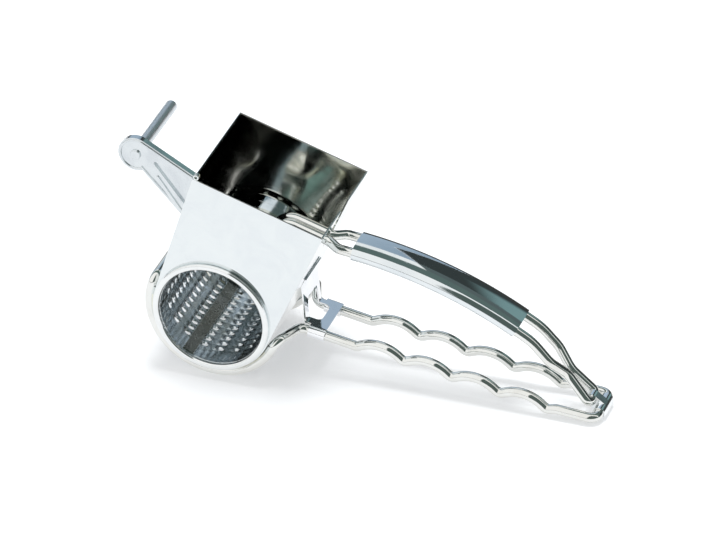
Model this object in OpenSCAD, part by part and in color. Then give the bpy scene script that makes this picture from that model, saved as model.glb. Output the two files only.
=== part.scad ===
// Hand grater with a rotary drum: a sheet hopper on a bent wire frame, a toothed drum
// turned by a crank at the back, and a hinged handle whose arched plate presses the food.
// Everything is drawn in the hopper's own frame and then leaned over as it lies on a table.
// In that frame the drum axis is the Y axis, the mouth faces -Y, the handles point to +X
// and the hopper opens to +Z.

/* [Hopper] */
// Depth of the hopper, from the front plate's face to the back plate's face
hopper_len = 59.3; // [50:0.1:72]
// Height of the rim above the drum axis
rim_z = 64.6; // [58:0.1:78]
// Reach of the rim from the drum axis towards the handle
rim_x = 35.2; // [32:0.1:40]
// Radius of the plates' round bottom, and of the straight left wall
plate_r = 28; // [27.6:0.1:32]
// Thickness of the sheet
sheet_t = 0.8; // [0.6:0.05:1]
// Depth of the lip bent back round the bottom of each plate
lip_len = 5; // [3:0.1:6]
// Width of the slot that the handle's rods pass through
slot_w = 11; // [10.2:0.1:13]

/* [Drum] */
// Outside radius of the drum's sheet
drum_r = 25.2; // [23:0.1:25.2]
// Height of a punched tooth above the sheet
tooth_h = 0.9; // [0.5:0.05:0.9]
// Rows of teeth round the drum
tooth_rows = 20; // [12:1:20]
// Teeth in one row
row_teeth = 11; // [6:1:12]
// Half length of one tooth's opening, round the drum
tooth_a = 1.55; // [1:0.05:1.6]
// Half width of one tooth's opening, along the drum
tooth_b = 1.4; // [1:0.05:1.4]
// Plain band between the mouth and the first tooth's middle
mouth_band = 10.8; // [8:0.1:14]
// Plain band between the last tooth's middle and the drum's back end
back_band = 3; // [2.6:0.1:6]
// Angle taken by the lap seam, past one row's pitch
seam_extra = 4.2; // [2:0.1:8]
// Width of the rolled ring round the mouth
ring_w = 2.9; // [2.2:0.1:3.4]
// Thickness of the rolled ring
ring_t = 2; // [1.4:0.1:2.4]

/* [Frame] */
// Diameter of the frame's rod
rod_d = 4.6; // [3:0.1:4.8]
// Distance between the two lower legs, middle to middle
leg_gap = 21.3; // [18:0.1:26]
// Angle at which the legs climb away from the hopper
leg_rise = 8.45; // [5:0.05:10]
// Distance from the drum axis to where the legs start
leg_root_x = 36.5; // [35:0.1:40]
// Height of the legs' start above the drum axis
leg_root_z = 0.8; // [-2:0.1:3]
// Straight stretch before the first finger dip
first_dip = 26.8; // [20:0.1:34]
// Distance between finger dips
dip_pitch = 22.5; // [20.5:0.1:27]
// Number of finger dips
dips = 5; // [3:1:6]
// Rise of the bend corners between two dips
dip_rise = 7.2; // [4:0.1:7.6]
// Height of the bar that closes the frame on the left
cross_z = 3.5; // [3:0.1:6]

/* [Pressing handle] */
// Length of the sheet grip
grip_len = 80; // [60:0.5:84]
// Distance from the drum axis to the grip's middle
grip_mid = 86.5; // [82:0.5:90]
// Radius of the grip's long curve
grip_r = 200; // [180:5:280]
// Height of the handle's rods at the top of that curve
grip_top = 50.9; // [48:0.1:52]
// Half distance between the rods at the hopper
neck_half = 2.5; // [2.3:0.05:3]
// Half distance between the rods where the grip starts
grip_half_from = 6.2; // [5:0.05:7]
// Half distance between the rods where the grip ends
grip_half_to = 6.4; // [5:0.05:7]
// Half distance between the rods at the knee past the grip
knee_half = 6.7; // [5:0.05:7.5]
// Height of the rods where they cross the hopper wall
neck_z = 44.8; // [44:0.1:46]
// Crown of the grip above the rods' tops
crown = 0.8; // [0.4:0.1:1.6]
// Angle of the arch that the pressing plate covers
press_angle = 63; // [50:1:66]

/* [Crank] */
// Distance from the drum axis to the crank's grip
crank_len = 69.4; // [58:0.1:84]
// Angle of the crank above the handle's side
crank_angle = 166.5; // [90:0.5:180]
// Radius of the crank's hub
hub_r = 23; // [16:0.5:24]
// Radius of the disc that carries the grip
disc_r = 8.5; // [7:0.1:10]
// Length of the crank's grip
crank_grip_len = 44; // [34:0.5:52]
// Diameter of the crank's grip
crank_grip_d = 5.6; // [5.2:0.1:7]
// Depth of the crank's bent rim
rim_depth = 3; // [2.2:0.1:4]

/* [Hidden] */
$fn = 48;

// Clearances
run_gap = 0.08;    // turning fit
pin_gap = 0.05;    // hinge fit
seat_gap = 0.05;   // between pieces that are fixed together
joint_lap = 0.03;  // by which a joint in a bent rod stands out
joint_half = 0.1;  // by which it laps each stretch
joint_slit = 0.04;
tuck = 0.002;      // by which a straight edge starts inside the circle that it leaves
rod_r = rod_d / 2;

// Middle plane of the whole grater
mid_y = hopper_len / 2;

// Right wall: it leaves the plates' round bottom as a tangent and ends at the rim
wall_lean = atan2(rim_z, rim_x) - acos(plate_r / norm([rim_x, rim_z]));
wall_len = sqrt(rim_x * rim_x + rim_z * rim_z - plate_r * plate_r);

// Frame
hoop_r = plate_r + seat_gap + rod_r;
near_hoop_y = rod_r + sheet_t;
near_leg_y = mid_y - leg_gap / 2;
hoop_exit = 350;
exit_len = 5;
hoop_bend = 5;
leg_dir = [cos(leg_rise), 0, sin(leg_rise)];
leg_up = [-sin(leg_rise), 0, cos(leg_rise)];
leg_root = [leg_root_x, near_leg_y, leg_root_z];
leg_cut = 4.2;
dip_bend = 3.5;
crest_bend = 16;
dip_sink = 0.5;
first_rise = leg_rise - atan2(dip_sink, first_dip);
first_dir = [cos(first_rise), 0, sin(first_rise)];
first_up = [-sin(first_rise), 0, cos(first_rise)];
last_dip = first_dip + (dips - 1) * dip_pitch;
end_crest_s = last_dip + 3.8;
end_crest_n = 1.25;
end_crest_bend = 8;
hinge_s = last_dip + 22.5;
hinge_n = 2.7;
corner_bend = 4;
hinge = leg_root + hinge_s * leg_dir + hinge_n * leg_up;

// Lean on the table: a line that touches the hoops and the hinge's strap from below
strap_r = rod_r + pin_gap + sheet_t;
foot_r = hoop_r + rod_r;
tilt = atan2(hinge.z, hinge.x) + asin((foot_r - strap_r) / norm([hinge.x, hinge.z]));

// Drum
drum_t = 0.8;
tooth_tip_r = drum_r + tooth_h;
drum_front = -0.3;
drum_back_y = hopper_len - sheet_t - 0.7;
seam_angle = 258.5;
row_pitch = (360 - seam_extra) / tooth_rows;
tooth_pitch = (drum_back_y - drum_front - mouth_band - back_band) / (row_teeth - 1);
collar_r = tooth_tip_r + 0.1;
mouth_hole_r = collar_r + run_gap;
ring_in = drum_r - 0.7;
shaft_r = 5;
bush_r = 7;
bush_end = hopper_len + 1.9;
square_w = 7;
stud_r = 2.5;

// Pressing handle
press_in = tooth_tip_r + 0.7;
press_out = press_in + sheet_t;
press_inset = 2;
press_flange = 3.8;
rod_seat_z = press_out + seat_gap + rod_r;
slot_z = neck_z - rod_r - 0.3;
clip_pitch = 5.7;
clip_rise = 2;
end_bar = hinge + [-clip_pitch, 0, clip_rise];
end_half = 5;
end_bend = rod_r + 0.1;
pinch_half = rod_r + 0.1;
pinch_x = end_bar.x - 13.8;
knee_x = pinch_x - 9;
handle_drop = 29.5;
arc_top_x = 85;
arc_turn = asin((arc_top_x - grip_mid) / grip_r);
arc_a0 = -asin(grip_len / 2 / grip_r) - arc_turn;
arc_a1 = asin(grip_len / 2 / grip_r) - arc_turn;
arc_mid = (arc_a0 + arc_a1) / 2;
arc_c = [arc_top_x, grip_top - grip_r];
lead_len = 7;

// Crank
arm_y = hopper_len + 2.7;
arm_t = 1;
pin_r = 1.5;
arm_low_disc = 3.1;
arm_high_hub = 10.5;

function unit(v) = v / norm(v);
function mirror_y(p) = [p.x, 2 * mid_y - p.y, p.z];
function polar(r, a) = [r * cos(a), r * sin(a)];

// Turn angle and tangent length at an inner point of a bent rod
function turn(p, i) = acos(unit(p[i] - p[i - 1]) * unit(p[i + 1] - p[i]));
function trim(p, r, i) = (i == 0 || i == len(p) - 1) ? 0 : r[i] * tan(turn(p, i) / 2);

// A piece of sheet standing in the XZ plane, from y0 to y0 + depth
module xz(y0, depth) {
  translate([0, y0 + depth, 0]) rotate([90, 0, 0]) linear_extrude(depth) children();
}

// A round thing about an axis along Y; its profile is drawn as [radius, y]
module about_y(angle = 360, start = 0) {
  rotate([90, 0, 0]) rotate([0, 0, start]) rotate_extrude(angle = angle)
    mirror([0, 1]) children();
}

module rod(a, b, d) {
  v = b - a;
  translate(a) rotate([0, acos(v.z / norm(v)), atan2(v.y, v.x)])
    cylinder(h = norm(v), d = d);
}

// Round bend of a rod at corner p, between the directions u and w
module rod_bend(p, u, w, r, d) {
  a = acos(u * w);
  s = p - u * r * tan(a / 2);
  n = unit(w - u * (u * w));
  m = cross(u, n);
  c = s + n * r;
  multmatrix([
    [-n.x, u.x, m.x, c.x],
    [-n.y, u.y, m.y, c.y],
    [-n.z, u.z, m.z, c.z],
    [0, 0, 0, 1]
  ]) rotate_extrude(angle = a) translate([r, 0]) circle(d = d);
}

// Joins two stretches of a bent rod, from a to b along the rod; it laps both a little
module rod_joint(a, b, d) {
  u = unit(b - a);
  rod(a - joint_half * u, b + joint_half * u, d + 2 * joint_lap);
}

// Bent rod through the corners p, with bend radius r[i] at each
module wire(p, r, d) {
  for (i = [0:len(p) - 2]) {
    u = unit(p[i + 1] - p[i]);
    a = p[i] + u * trim(p, r, i);
    b = p[i + 1] - u * trim(p, r, i + 1);
    run = norm(b - a);
    first = i == 0;
    last = i == len(p) - 2;
    // A long run is a rod with a joint at each bend, and a short one is a joint alone
    if (run > 6 * joint_half) {
      rod(first ? a : a + joint_slit * u, last ? b : b - joint_slit * u, d);
      if (!first) rod_joint(a - joint_slit * u, a + joint_slit * u, d);
      if (!last) rod_joint(b - joint_slit * u, b + joint_slit * u, d);
    } else if (!first && !last) {
      rod_joint(a, b + joint_slit * u, d);
    }
  }
  for (i = [1:len(p) - 2])
    rod_bend(p[i], unit(p[i] - p[i - 1]), unit(p[i + 1] - p[i]), r[i], d);
}

// Convex outline with round corners of radius r about the points p, anticlockwise
module rounded(p, r) {
  n = len(p);
  polygon([for (i = [0:n - 1])
    let (e = unit(p[(i + 1) % n] - p[i]), o = (r - tuck) * [e.y, -e.x])
    each [p[i] + o, p[(i + 1) % n] + o]]);
  for (q = p) translate(q) circle(r);
}

// Folded sheet seen on edge, along the points p
module folded(p, t) {
  for (i = [0:len(p) - 2]) {
    v = p[i + 1] - p[i];
    translate(p[i]) rotate(atan2(v.y, v.x)) translate([0, -t / 2])
      square([norm(v), t]);
  }
  for (q = p) translate(q) circle(d = t + 2 * tuck);
}

module leaned() {
  rotate([0, tilt, 0]) children();
}

// Puts the part's origin on the table, under the middle of its box
module placed() {
  translate([-box_mid.x, -box_mid.y, foot_r]) leaned() children();
}

// Box of the leaned part: crank disc and hinge clip along X, ring and crank grip along Y
function lean_x(x, z) = x * cos(tilt) + z * sin(tilt);
crank_tip = polar(crank_len, crank_angle);
box_low_x = lean_x(crank_tip.x, crank_tip.y) - disc_r;
box_high_x = lean_x(hinge.x, hinge.z) + strap_r;
box_low_y = drum_front - ring_t;
box_high_y = arm_y + arm_t + 0.4 + crank_grip_len;
box_mid = [(box_low_x + box_high_x) / 2, (box_low_y + box_high_y) / 2];

// Hopper

module plate_outline() {
  circle(plate_r);
  polygon([
    [0, 0], polar(plate_r - tuck, wall_lean), [rim_x, rim_z], [-plate_r, rim_z],
    [tuck - plate_r, 0]
  ]);
}

// The lip runs round the bottom, and ends a little below each wall's foot
module lip_ring() {
  lip_stop = 1.5;
  difference() {
    circle(plate_r);
    circle(plate_r - sheet_t);
    polygon([
      [0, 0], polar(2 * plate_r, wall_lean - lip_stop), [2 * plate_r, 2 * plate_r],
      [-2 * plate_r, 2 * plate_r], polar(2 * plate_r, 180 + lip_stop)
    ]);
  }
}

module front_plate() color([0.91, 0.93, 0.94]) placed() {
  difference() {
    xz(0, sheet_t) plate_outline();
    xz(-1, sheet_t + 2) circle(mouth_hole_r);
  }
  xz(0, lip_len) lip_ring();
}

module back_plate() color([0.78, 0.81, 0.82]) placed() {
  difference() {
    xz(hopper_len - sheet_t, sheet_t) plate_outline();
    xz(hopper_len - sheet_t - 1, sheet_t + 2) circle(bush_r + seat_gap);
  }
  xz(hopper_len - lip_len, lip_len) lip_ring();
}

module left_wall() color([0.2, 0.22, 0.22]) placed()
  xz(sheet_t, hopper_len - 2 * sheet_t)
    translate([-plate_r, 0]) square([sheet_t, rim_z]);

module right_wall() color([0.85, 0.88, 0.9]) placed() difference() {
  xz(sheet_t, hopper_len - 2 * sheet_t)
    rotate(wall_lean) translate([plate_r - sheet_t, 0]) square([sheet_t, wall_len]);
  slot_top = 2 * rim_z;
  slot_corner = 1.5;
  slot_half = slot_w / 2 - slot_corner;
  translate([plate_r / 2, 0, 0]) rotate([90, 0, 90]) linear_extrude(plate_r) rounded([
    [mid_y - slot_half, slot_z + slot_corner],
    [mid_y + slot_half, slot_z + slot_corner],
    [mid_y + slot_half, slot_top],
    [mid_y - slot_half, slot_top]
  ], slot_corner);
}

// Small curled tab where the left wall is turned over the front plate's corner
module corner_tab() color([0.9, 0.91, 0.9]) placed() {
  tab_r = 1.3;
  tab_len = 2.4;
  xz(0, tab_len) translate([-plate_r + tab_r, rim_z + tab_r + seat_gap]) difference() {
    circle(tab_r);
    circle(tab_r - 0.6);
  }
}

// Frame

function near_hoop_point(r, a) = let (q = polar(r, a)) [q.x, near_hoop_y, q.y];
hoop_exit_dir = [-sin(hoop_exit), 0, cos(hoop_exit)];
leg_start = leg_root + leg_cut * first_dir;

// The hoop is an elbow off the cross bar, two equal arcs round the plate's bottom, and
// two bends that bring the rod in beside the other leg
module hoop() {
  half_arc = (hoop_exit - 180) / 4;
  corner_r = hoop_r / cos(half_arc);
  wire([
    [-hoop_r, near_hoop_y + cross_z, cross_z],
    [-hoop_r, near_hoop_y, cross_z],
    near_hoop_point(corner_r, 180 + half_arc),
    near_hoop_point(corner_r, 180 + 3 * half_arc),
    near_hoop_point(hoop_r, hoop_exit) + exit_len * hoop_exit_dir,
    leg_root, leg_start
  ], [0, cross_z, hoop_r - joint_slit, hoop_r - joint_slit, hoop_bend, hoop_bend, 0], rod_d);
}

function leg_at(s, n) = leg_root + s * leg_dir + n * leg_up;
dip_corners = [for (k = [0:dips - 1])
  each k < dips - 1
    ? [leg_at(first_dip + k * dip_pitch, -dip_sink),
       leg_at(first_dip + (k + 0.5) * dip_pitch, dip_rise - dip_sink)]
    : [leg_at(last_dip, -dip_sink)]];
dip_bends = [for (k = [0:dips - 1])
  each k < dips - 1 ? [dip_bend, crest_bend] : [dip_bend]];

module leg() {
  hinge_side = hinge + [0, corner_bend, 0];
  wire(
    concat([leg_start], dip_corners, [leg_at(end_crest_s, end_crest_n), hinge, hinge_side]),
    concat([0], dip_bends, [end_crest_bend, corner_bend, 0]), rod_d);
}

// Point beside the legs' first stretch, and a frame whose X axis runs along it
function first_at(s, n) = leg_root + s * first_dir + n * first_up;
module along_legs() {
  translate([leg_root.x, 0, leg_root.z]) rotate([0, -first_rise, 0]) children();
}

module far_side() {
  translate([0, 2 * mid_y, 0]) mirror([0, 1, 0]) children();
}

module near_hoop() color([0.86, 0.87, 0.86]) placed() hoop();
module far_hoop() color([0.86, 0.87, 0.86]) placed() far_side() hoop();
module near_leg() color([0.93, 0.94, 0.92]) placed() leg();
module far_leg() color([0.93, 0.94, 0.92]) placed() far_side() leg();

module cross_bar() color([0.8, 0.82, 0.8]) placed() {
  a = [-hoop_r, near_hoop_y + cross_z, cross_z];
  rod(a, mirror_y(a), rod_d);
}

module hinge_bar() color([0.8, 0.82, 0.8]) placed() {
  a = hinge + [0, corner_bend, 0];
  rod(a, mirror_y(a), rod_d);
}

// Folded sheet from the hopper's right wall down onto the two legs, which it wraps
module leg_bracket() color([0.72, 0.76, 0.82]) placed() {
  sleeve_in = rod_r + seat_gap;
  sleeve_out = sleeve_in + sheet_t;
  n_mid = sleeve_in + sheet_t / 2;
  wall_mid = plate_r + seat_gap + sheet_t / 2;
  wall_turn = [cos(wall_lean), sin(wall_lean)];
  wall_up = [-sin(wall_lean), cos(wall_lean)];
  flap_top = 28;
  flap_foot = 23.5;
  side_inset = 0.8;
  strip_t = sheet_t - 0.06;
  plate_s = [1.5, 12];
  sleeve_len = plate_s[1] - leg_cut;
  window_x = [34, 43.5];
  window_y = [near_leg_y + 5, 2 * mid_y - near_leg_y - 3.5];
  window_r = 2.5;
  bends = [
    wall_mid * wall_turn + flap_top * wall_up,
    wall_mid * wall_turn + flap_foot * wall_up,
    [first_at(plate_s[0], n_mid).x, first_at(plate_s[0], n_mid).z],
    [first_at(plate_s[1] - 1, n_mid).x, first_at(plate_s[1] - 1, n_mid).z]
  ];
  difference() {
    union() {
      xz(near_leg_y + side_inset, leg_gap - 2 * side_inset) folded(bends, strip_t);
      along_legs() translate([leg_cut, near_leg_y, sleeve_in])
        cube([sleeve_len, leg_gap, sheet_t - 0.01]);
      along_legs() for (y = [near_leg_y, 2 * mid_y - near_leg_y])
        translate([leg_cut, y, 0]) rotate([0, 90, 0]) cylinder(h = sleeve_len, r = sleeve_out);
    }
    along_legs() for (y = [near_leg_y, 2 * mid_y - near_leg_y])
      translate([0, y, 0]) rotate([0, 90, 0]) cylinder(h = 2 * plate_s[1], r = sleeve_in);
    translate([0, 0, -5]) linear_extrude(22) rounded([
      [window_x[0] + window_r, window_y[0] + window_r],
      [window_x[1] - window_r, window_y[0] + window_r],
      [window_x[1] - window_r, window_y[1] - window_r],
      [window_x[0] + window_r, window_y[1] - window_r]
    ], window_r);
  }
}

module back_bush() color([0.7, 0.7, 0.68]) placed() about_y() {
  bore_r = shaft_r + run_gap;
  inner_end = hopper_len - sheet_t - 0.2;
  flange_r = 9;
  translate([bore_r, inner_end]) square([bush_r - bore_r, bush_end - inner_end]);
  translate([bore_r, hopper_len]) square([flange_r - bore_r, sheet_t]);
}

// Pressing handle

function arc_xz(a) = [arc_c.x + grip_r * sin(a), arc_c.y + grip_r * cos(a)];
grip_from = arc_xz(arc_a0);
grip_to = arc_xz(arc_a1);
grip_corner = arc_c + grip_r / cos((arc_a1 - arc_a0) / 2) * [sin(arc_mid), cos(arc_mid)];
lead_in = grip_from - lead_len * [cos(arc_a0), -sin(arc_a0)];
drop_x = (end_bar.z + tan(handle_drop) * end_bar.x - grip_to.y - tan(arc_a1) * grip_to.x)
  / (tan(handle_drop) - tan(arc_a1));
drop_z = grip_to.y - tan(arc_a1) * (drop_x - grip_to.x);
function drop_line(x) = end_bar.z + tan(handle_drop) * (end_bar.x - x);

// Half distance between the rods at x, along the grip's taper and past its ends
taper = (grip_half_to - grip_half_from) / (grip_to.x - grip_from.x);
function half_at(x) = grip_half_from + taper * (x - grip_from.x);

function near_rod(x, half, z) = [x, mid_y - half, z];
press_end_x = -3;
press_bend_x = 3.5;
neck_from_x = 13;
neck_to_x = rim_x - 0.7;
handle_corners = [
  near_rod(press_end_x, neck_half, rod_seat_z), near_rod(press_bend_x, neck_half, rod_seat_z),
  near_rod(neck_from_x, neck_half, neck_z), near_rod(neck_to_x, neck_half, neck_z),
  near_rod(lead_in.x, half_at(lead_in.x), lead_in.y),
  near_rod(grip_corner.x, half_at(grip_corner.x), grip_corner.y),
  near_rod(drop_x, half_at(drop_x), drop_z),
  near_rod(knee_x, knee_half, drop_line(knee_x)),
  near_rod(pinch_x, pinch_half, drop_line(pinch_x)),
  near_rod(end_bar.x, end_half, end_bar.z),
  near_rod(end_bar.x, 0, end_bar.z)
];
handle_bends = [0, 4, 8, 5, 5, grip_r, 25, 10, 8, end_bend, 0];
end_straight = end_half - trim(handle_corners, handle_bends, 9);

module handle_rod() {
  corners = [for (i = [0:9]) handle_corners[i]];
  wire(concat(corners, [near_rod(end_bar.x, end_straight, end_bar.z)]),
    handle_bends, rod_d);
}

module near_handle_rod() color([0.9, 0.91, 0.9]) placed() handle_rod();
module far_handle_rod() color([0.9, 0.91, 0.9]) placed() far_side() handle_rod();

module handle_end_bar() color([0.85, 0.86, 0.85]) placed() {
  a = near_rod(end_bar.x, end_straight, end_bar.z);
  rod(a, mirror_y(a), rod_d);
}

// Grip: a crowned sheet whose sides are curled round the rods. It is swept in rings.
// Each ring is a closed outline of [across, up] points about the middle of the rods.
curl_low = -70;
curl_high = 78;
curl_steps = 8;
crown_steps = 7;
grip_rings = 18;
function curl(half, r) = [for (i = [0:curl_steps])
  let (a = curl_low + (curl_high - curl_low) * i / curl_steps)
  [half + r * cos(a), r * sin(a)]];
function crown_line(half, r, top) = [for (i = [1:crown_steps])
  let (e = [half + r * cos(curl_high), r * sin(curl_high)],
       q = 1 - 2 * i / (crown_steps + 1))
  [e.x * q, e.y + (top - e.y) * (1 - q * q)]];
function flip(p) = [for (i = [len(p) - 1:-1:0]) [-p[i].x, p[i].y]];
function half_ring(half, r, top) =
  concat(curl(half, r), crown_line(half, r, top), flip(curl(half, r)));
function reversed(p) = [for (i = [len(p) - 1:-1:0]) p[i]];
function grip_ring(half) = concat(
  half_ring(half, rod_r + 0.1 + sheet_t, rod_r + 0.1 + sheet_t + crown),
  reversed(half_ring(half, rod_r + 0.1, rod_r + 0.1 + crown)));

module grip_plate() color([0.73, 0.77, 0.8]) placed() {
  rings = [for (k = [0:grip_rings])
    let (a = arc_a0 + (arc_a1 - arc_a0) * k / grip_rings, c = arc_xz(a))
    [for (q = grip_ring(half_at(c.x)))
      [c.x + q.y * sin(a), mid_y + q.x, c.y + q.y * cos(a)]]];
  n = len(rings[0]);
  h = n / 2;
  polyhedron(
    points = [for (ring = rings) each ring],
    faces = concat(
      [for (k = [0:grip_rings - 1], i = [0:n - 1])
        let (j = (i + 1) % n, a = k * n, b = (k + 1) * n)
        each [[a + i, a + j, b + j], [a + i, b + j, b + i]]],
      [for (i = [0:h - 2]) each [
        [i, n - 1 - i, n - 2 - i], [i, n - 2 - i, i + 1]]],
      [for (i = [0:h - 2], z = [grip_rings * n]) each [
        [z + i, z + n - 2 - i, z + n - 1 - i], [z + i, z + i + 1, z + n - 2 - i]]]));
}

// Arched plate that presses on the drum, with both ends turned up
module presser_plate() color([0.75, 0.78, 0.79]) placed()
  about_y(press_angle, 90 - press_angle / 2) {
    translate([press_in, press_inset])
      square([sheet_t, hopper_len - 2 * press_inset - sheet_t]);
    for (y = [press_inset, hopper_len - press_inset - 2 * sheet_t])
      translate([press_in, y]) square([press_flange + sheet_t, sheet_t]);
  }

// Strap that is rolled round the frame's end and holds the handle's end
module hinge_clip() color([0.45, 0.5, 0.48]) placed() {
  wide = 12.5;
  clip_len = norm([clip_pitch, clip_rise]);
  tongue = 2 * end_straight - 0.2;
  difference() {
    union() {
      xz(mid_y - wide / 2, wide) translate([hinge.x, hinge.z]) circle(strap_r);
      xz(mid_y - tongue / 2, tongue) {
        translate([end_bar.x, end_bar.z]) {
          circle(strap_r);
          rotate(-atan2(clip_rise, clip_pitch)) translate([0, tuck - strap_r])
            square([clip_len, 2 * (strap_r - tuck)]);
        }
      }
    }
    for (p = [hinge, end_bar])
      xz(mid_y - wide, 2 * wide) translate([p.x, p.z]) circle(strap_r - sheet_t);
  }
}

// Drum

// Columns of points round the drum: each row of teeth has an edge, a middle and an edge
columns = 2 * tooth_rows + 1;
function column_a(c) = seam_angle + (row_pitch + seam_extra) / 2
  - row_pitch / 2 + c * row_pitch / 2;
line_y = concat([drum_front],
  [for (j = [0:row_teeth]) drum_front + mouth_band + (j - 0.5) * tooth_pitch],
  [drum_back_y]);
lines = len(line_y);
function drum_point(r, a, y) = [r * cos(a), y, r * sin(a)];

// Corners of one opening: the side towards the smaller angle is pushed out as a tooth
tooth_turns = [210, 270, 330, 30, 90, 150];
tooth_lift = [1, 0.5, 0, 0, 0.5, 1];
function tooth_corner(r, row, i, m) = let (a = column_a(2 * row + 1))
  drum_point(r + tooth_h * tooth_lift[m],
    a + tooth_a / cos(30) * cos(tooth_turns[m]) / drum_r * 180 / PI,
    drum_front + mouth_band + i * tooth_pitch + tooth_b * sin(tooth_turns[m]));

module drum_shell() {
  grid = lines * columns;
  per_skin = grid + 6 * tooth_rows * row_teeth;
  function g(s, j, c) = s * per_skin + j * columns + (c % columns);
  function h(s, row, i, m) = s * per_skin + grid + 6 * (row * row_teeth + i) + m % 6;
  function edge(s, row, i, m) = let (c = 2 * row, j = i + 1) [
    g(s, j, c), g(s, j, c + 1), g(s, j, c + 2),
    g(s, j + 1, c + 2), g(s, j + 1, c + 1), g(s, j + 1, c)][m % 6];
  function turned(s, f) = s == 0 ? f : [f[2], f[1], f[0]];
  skins = [drum_r, drum_r - drum_t];
  color([0.6, 0.64, 0.68]) placed() polyhedron(
    points = concat(
      [for (r = skins) each concat(
        [for (y = line_y, c = [0:columns - 1]) drum_point(r, column_a(c), y)],
        [for (row = [0:tooth_rows - 1], i = [0:row_teeth - 1], m = [0:5])
          tooth_corner(r, row, i, m)])]),
    faces = concat(
      // Sheet round each opening
      [for (s = [0, 1], row = [0:tooth_rows - 1], i = [0:row_teeth - 1], m = [0:5]) each [
        turned(s, [edge(s, row, i, m), edge(s, row, i, m + 1), h(s, row, i, m + 1)]),
        turned(s, [edge(s, row, i, m), h(s, row, i, m + 1), h(s, row, i, m)])]],
      // Cut edge of each opening
      [for (row = [0:tooth_rows - 1], i = [0:row_teeth - 1], m = [0:5]) each [
        [h(0, row, i, m), h(0, row, i, m + 1), h(1, row, i, m + 1)],
        [h(0, row, i, m), h(1, row, i, m + 1), h(1, row, i, m)]]],
      // Plain bands at both ends and the plain strip at the seam
      [for (s = [0, 1], j = [0:lines - 2], c = [0:columns - 1])
        if (j == 0 || j == lines - 2 || c == columns - 1) each [
          turned(s, [g(s, j, c), g(s, j, c + 1), g(s, j + 1, c + 1)]),
          turned(s, [g(s, j, c), g(s, j + 1, c + 1), g(s, j + 1, c)])]],
      // End faces
      [for (c = [0:columns - 1]) each [
        [g(0, 0, c), g(1, 0, c), g(1, 0, c + 1)],
        [g(0, 0, c), g(1, 0, c + 1), g(0, 0, c + 1)],
        [g(0, lines - 1, c), g(1, lines - 1, c + 1), g(1, lines - 1, c)],
        [g(0, lines - 1, c), g(0, lines - 1, c + 1), g(1, lines - 1, c + 1)]]]));
}

// Lap of the rolled sheet inside the drum, with its spot welds
module drum_seam() color([0.35, 0.38, 0.36]) placed() {
  lap_angle = 13;
  lap_out = drum_r - drum_t - 0.1;
  lap_t = 0.45;
  lap_from = drum_front + 0.6;
  lap_to = drum_back_y - 1.6;
  spots = 4;
  spot_r = 0.9;
  spot_rise = 0.15;
  spot_from = lap_from + 9.9;
  spot_pitch = (lap_to - 7.5 - spot_from) / (spots - 1);
  about_y(lap_angle, seam_angle - lap_angle / 2)
    translate([lap_out - lap_t, lap_from]) square([lap_t, lap_to - lap_from]);
  for (k = [0:spots - 1])
    rotate([0, -seam_angle, 0])
      translate([lap_out - lap_t - spot_rise, spot_from + k * spot_pitch, 0])
        rotate([0, 90, 0]) cylinder(h = spot_rise + lap_t / 2, r = spot_r);
}

module drum_rim() color([0.93, 0.94, 0.93]) placed() about_y() {
  ball = ring_t / 2;
  back_y = drum_front;
  translate([ring_in + ball, back_y - ball]) circle(ball);
  translate([ring_in + ring_w - ball, back_y - ball]) circle(ball);
  translate([ring_in + ball, back_y - ring_t]) square([ring_w - ring_t, ring_t]);
  translate([ring_in, back_y - ball]) square([ball, ball]);
  collar_len = 3.3;
  translate([drum_r + seat_gap, back_y - 0.2])
    square([collar_r - drum_r - seat_gap, collar_len + 0.2]);
}

module drum_back() color([0.6, 0.62, 0.6]) placed() about_y()
  translate([shaft_r + seat_gap, drum_back_y - sheet_t])
    square([drum_r - drum_t - 0.12 - shaft_r - seat_gap, sheet_t]);

// Shaft with a flange inside the drum, a square for the crank and a stud for the nut
module drum_shaft() color([0.7, 0.7, 0.68]) placed() {
  flange_r = 9;
  flange_y = drum_back_y - 2 * sheet_t;
  stud_len = 5.4;
  about_y() {
    translate([0, flange_y]) square([flange_r, sheet_t]);
    translate([0, flange_y + sheet_t]) square([shaft_r, arm_y - flange_y - sheet_t]);
    translate([0, arm_y]) square([stud_r, stud_len]);
  }
  rotate([0, -crank_angle, 0]) xz(arm_y, arm_t) square(square_w, center = true);
}

// Crank: a stamped arm with its edge bent back, widening from the disc to the hub

// Outline of the arm along its own X axis, shrunk by g
module arm_outline(g = 0) {
  low_hub = hub_r - g;
  low_disc = arm_low_disc - g;
  high_hub = arm_high_hub - g;
  high_disc = disc_r - g;
  a = asin((low_hub - low_disc) / crank_len);
  b = asin((high_hub - high_disc) / crank_len);
  circle(low_hub);
  translate([crank_len, 0]) circle(high_disc);
  polygon([
    (low_hub - tuck) * [sin(a), cos(a)],
    [0, 0],
    (high_hub - tuck) * [sin(b), -cos(b)],
    [crank_len, 0] + (high_disc - tuck) * [sin(b), -cos(b)],
    [crank_len, 0] + (low_disc - tuck) * [sin(a), cos(a)]
  ]);
}

// Outline of the sunk web, from near the disc to the hub
module web_outline(g = 0) {
  web_tip = [crank_len - 10, -2.3];
  web_knee = [crank_len - 27, -6.6];
  web_hub_x = 22;
  rounded([web_tip, [web_hub_x, 12.5], [web_hub_x, -6.8], web_knee], 1 + g);
}

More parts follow.
